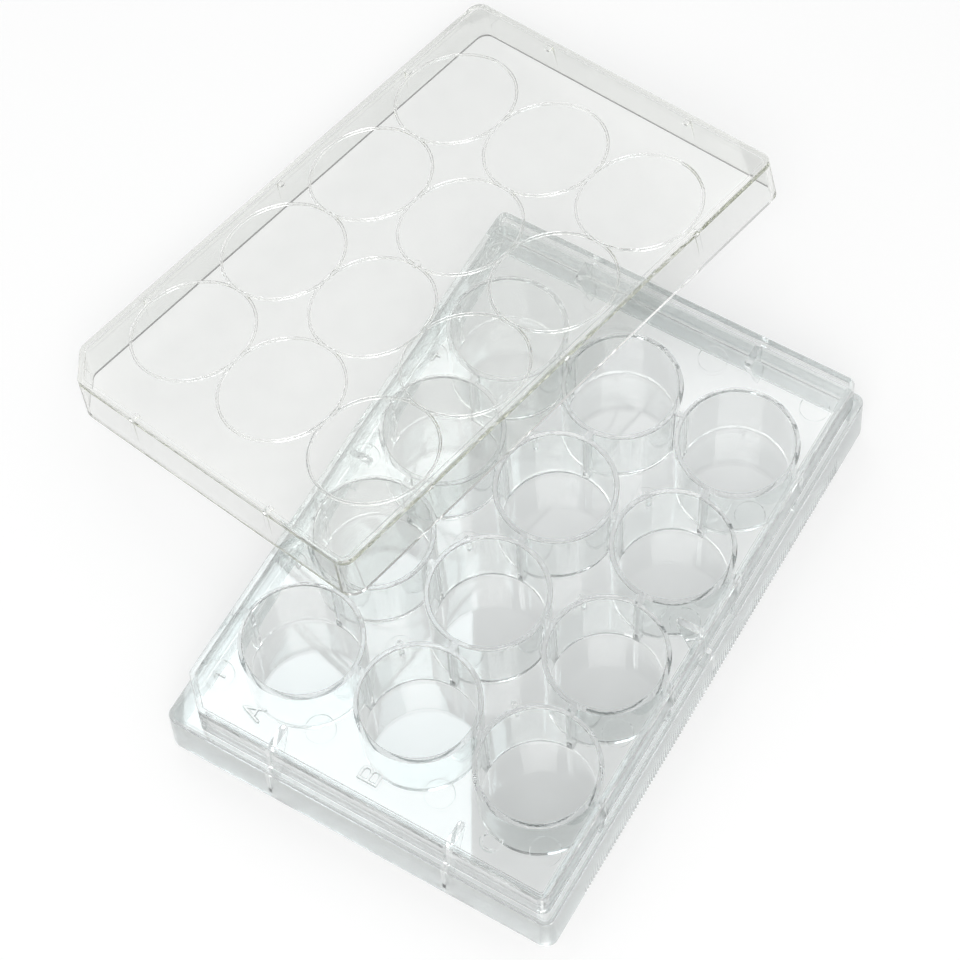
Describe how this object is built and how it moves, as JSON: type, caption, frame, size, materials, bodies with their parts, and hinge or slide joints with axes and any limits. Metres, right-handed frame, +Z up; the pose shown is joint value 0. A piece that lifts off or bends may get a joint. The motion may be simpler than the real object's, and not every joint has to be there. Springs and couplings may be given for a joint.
{
  "type": "well plate",
  "caption": "Clear moulded well plate with round flat-bottomed wells, a stepped skirt and a raised rim, its clear lid lying tilted across one corner",
  "frame": {"origin": "bottom centre of the box that holds the plate and its lid, on the surface that the plate stands on", "axes": "+X along the plate's long side from well column 1 to column 4, +Y from row C to row A, +Z up"},
  "size_m": [0.1742, 0.143, 0.0338],
  "materials": {
    "plate_plastic": "clear polystyrene, polished, faintly cool",
    "lid_plastic": "clear polystyrene, polished, faintly warm at its edges"
  },
  "bodies": {
    "root": {"well_plate": "plate_plastic", "lid": "lid_plastic"}
  },
  "joints": []
}
